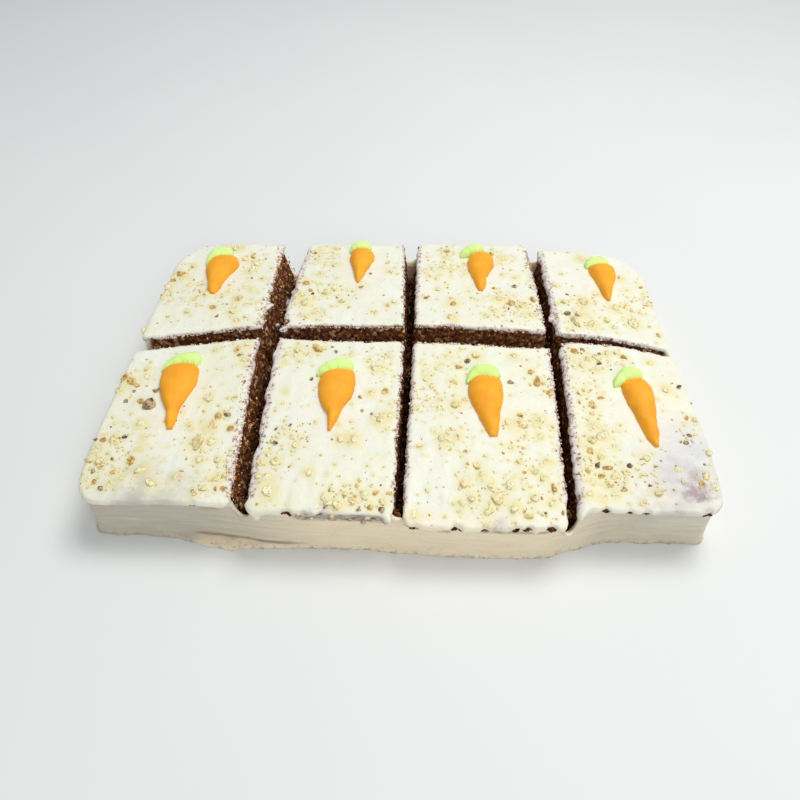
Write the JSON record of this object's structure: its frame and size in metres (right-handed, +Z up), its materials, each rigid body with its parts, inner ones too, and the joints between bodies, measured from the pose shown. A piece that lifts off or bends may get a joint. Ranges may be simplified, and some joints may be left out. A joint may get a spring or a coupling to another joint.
{
  "type": "carrot cake",
  "caption": "Rectangular iced carrot traybake cut into slices, with chopped nuts and a piped carrot on each slice.",
  "frame": {"origin": "middle of the base, on the surface the cake stands on", "axes": "+X along the long side, to the right in the picture; +Y from the front long side to the back one; +Z up out of the iced top"},
  "size_m": [0.3409, 0.242, 0.0492],
  "materials": {
    "icing": "soft satin cream cheese icing with chopped walnuts",
    "sponge": "matte open crumb, dark brown with tan specks",
    "carrot": "satin piped icing, bright orange",
    "leaf": "satin piped icing, light lime green"
  },
  "bodies": {
    "root": {"icing": "icing", "sponge_front_1": "sponge", "sponge_front_2": "sponge", "sponge_front_3": "sponge", "sponge_front_4": "sponge", "sponge_back_1": "sponge", "sponge_back_2": "sponge", "sponge_back_3": "sponge", "sponge_back_4": "sponge", "carrot_front_1": "carrot", "carrot_front_2": "carrot", "carrot_front_3": "carrot", "carrot_front_4": "carrot", "carrot_back_1": "carrot", "carrot_back_2": "carrot", "carrot_back_3": "carrot", "carrot_back_4": "carrot", "leaf_front_1": "leaf", "leaf_front_2": "leaf", "leaf_front_3": "leaf", "leaf_front_4": "leaf", "leaf_back_1": "leaf", "leaf_back_2": "leaf", "leaf_back_3": "leaf", "leaf_back_4": "leaf"}
  },
  "joints": []
}
